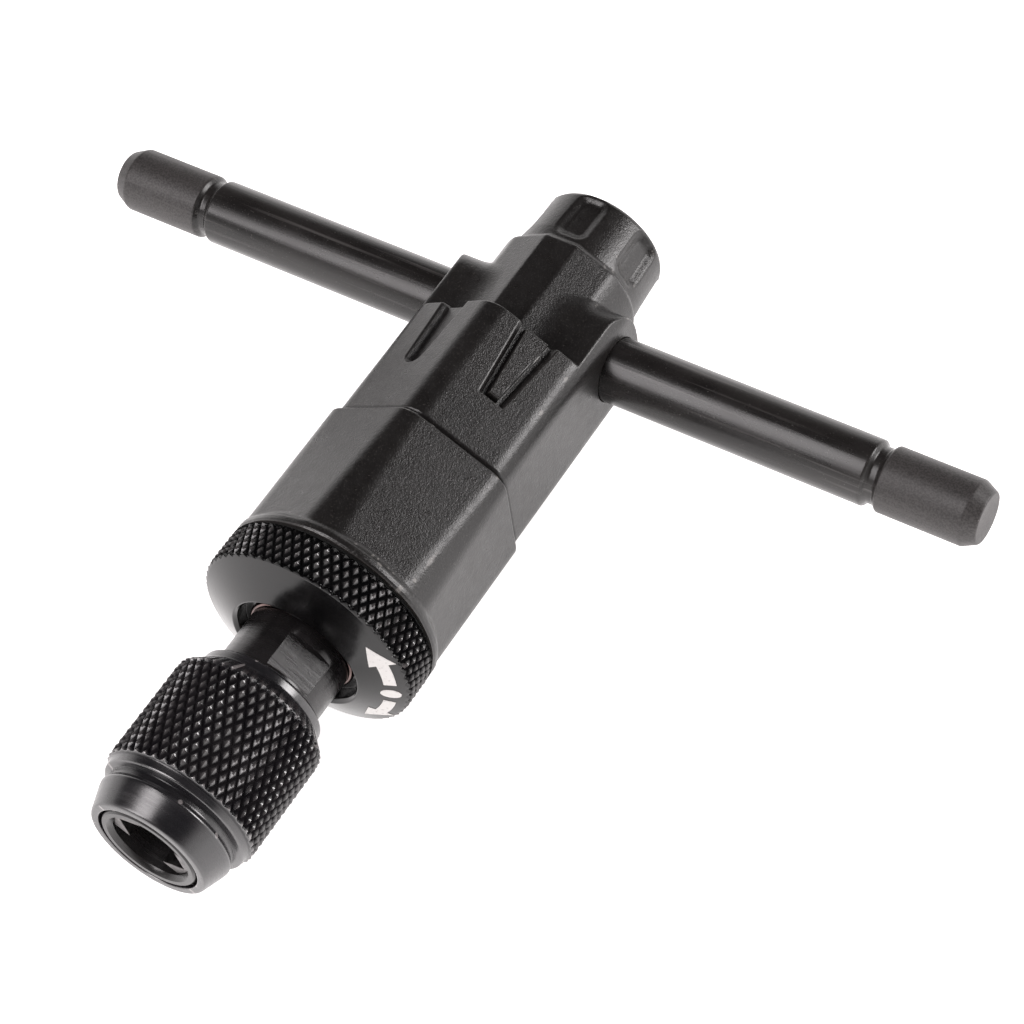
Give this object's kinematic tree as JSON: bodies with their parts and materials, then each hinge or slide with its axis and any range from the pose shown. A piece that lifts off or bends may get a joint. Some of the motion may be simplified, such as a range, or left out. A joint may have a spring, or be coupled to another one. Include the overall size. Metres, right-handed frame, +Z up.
{
  "type": "ratchet tap wrench",
  "caption": "Ratcheting T-handle tap wrench with a sliding tommy bar, reversing selector ring and knurled jaw chuck, lying on its side.",
  "frame": {"origin": "centre of the bounding box at the surface that the tool lies on", "axes": "+X along the tommy bar, -Y along the spindle towards the chuck's open end, +Z up from the surface"},
  "size_m": [0.1036, 0.084, 0.0238],
  "materials": {
    "cast_body": "fine textured satin",
    "spring_steel": "bright",
    "dark_steel": "turned",
    "black_rubber": "matt",
    "bronze": "sintered",
    "hard_steel": "ground",
    "black_oxide_steel": "satin, worn",
    "black_ring": "satin",
    "white_print": "printed",
    "copper_wire": "bright",
    "blackened_steel": "turned and knurled"
  },
  "bodies": {
    "housing": {"housing": "cast_body", "bar_detent_ball": "spring_steel", "bar_detent_spring": "spring_steel", "detent_plug": "dark_steel", "selector_ball": "spring_steel", "selector_spring": "spring_steel", "ring_seal": "black_rubber", "front_bush": "bronze", "rear_bush": "bronze", "thrust_washer": "hard_steel", "pawl_pins": "hard_steel", "pawl_spring_left": "spring_steel", "pawl_spring_right": "spring_steel"},
    "bar": {"tommy_bar": "black_oxide_steel"},
    "selector": {"selector_ring": "black_ring", "selector_pin": "hard_steel", "direction_marks": "white_print"},
    "spindle": {"spindle": "dark_steel", "ratchet_gear": "hard_steel", "gear_circlip": "spring_steel", "ring_snap_ring": "copper_wire"},
    "pawl_left": {"pawl_left": "hard_steel"},
    "pawl_right": {"pawl_right": "hard_steel"},
    "stop_ring": {"sleeve_stop_ring": "spring_steel"},
    "sleeve": {"chuck_sleeve": "blackened_steel"},
    "jaw_left": {"jaw_left": "hard_steel"},
    "jaw_right": {"jaw_right": "hard_steel"}
  },
  "joints": [
    {"name": "bar_slide", "type": "slide", "parent": "housing", "child": "bar", "axis": [1, 0, 0], "range_m": [-0.0403, 0.0403]},
    {"name": "selector_turn", "type": "hinge", "parent": "housing", "child": "selector", "pos_m": [0, -0.0135, 0.0119], "axis": [0, 1, 0], "range_deg": [-25, 25]},
    {"name": "spindle_spin", "type": "hinge", "parent": "housing", "child": "spindle", "pos_m": [0, -0.0025, 0.0119], "axis": [0, 1, 0], "continuous": true},
    {"name": "pawl_left_swing", "type": "hinge", "parent": "housing", "child": "pawl_left", "pos_m": [-0.0059, -0.0039, 0.01603], "axis": [0, 1, 0], "range_deg": [0, 5], "stiffness_Nm_per_rad": 0.002, "springref_deg": -5.73},
    {"name": "pawl_right_swing", "type": "hinge", "parent": "housing", "child": "pawl_right", "pos_m": [0.0059, -0.0039, 0.01603], "axis": [0, -1, 0], "range_deg": [0, 5], "stiffness_Nm_per_rad": 0.002, "springref_deg": -5.73},
    {"name": "sleeve_advance", "type": "slide", "parent": "spindle", "child": "stop_ring", "axis": [0, 1, 0], "range_m": [0, 0.002]},
    {"name": "sleeve_turn", "type": "hinge", "parent": "stop_ring", "child": "sleeve", "pos_m": [0, -0.0325, 0.0119], "axis": [0, 1, 0], "range_deg": [0, 720.5]},
    {"name": "jaw_left_slide", "type": "slide", "parent": "spindle", "child": "jaw_left", "axis": [0.848, 0, -0.5299], "range_m": [0, 0.00121]},
    {"name": "jaw_right_slide", "type": "slide", "parent": "spindle", "child": "jaw_right", "axis": [-0.848, 0, 0.5299], "range_m": [0, 0.00121]}
  ],
  "couplings": [
    {"joint": "sleeve_turn", "follows": "sleeve_advance", "rad_per_m": 6283.2},
    {"joint": "jaw_left_slide", "follows": "sleeve_advance", "ratio": 0.6},
    {"joint": "jaw_right_slide", "follows": "sleeve_advance", "ratio": 0.6}
  ]
}
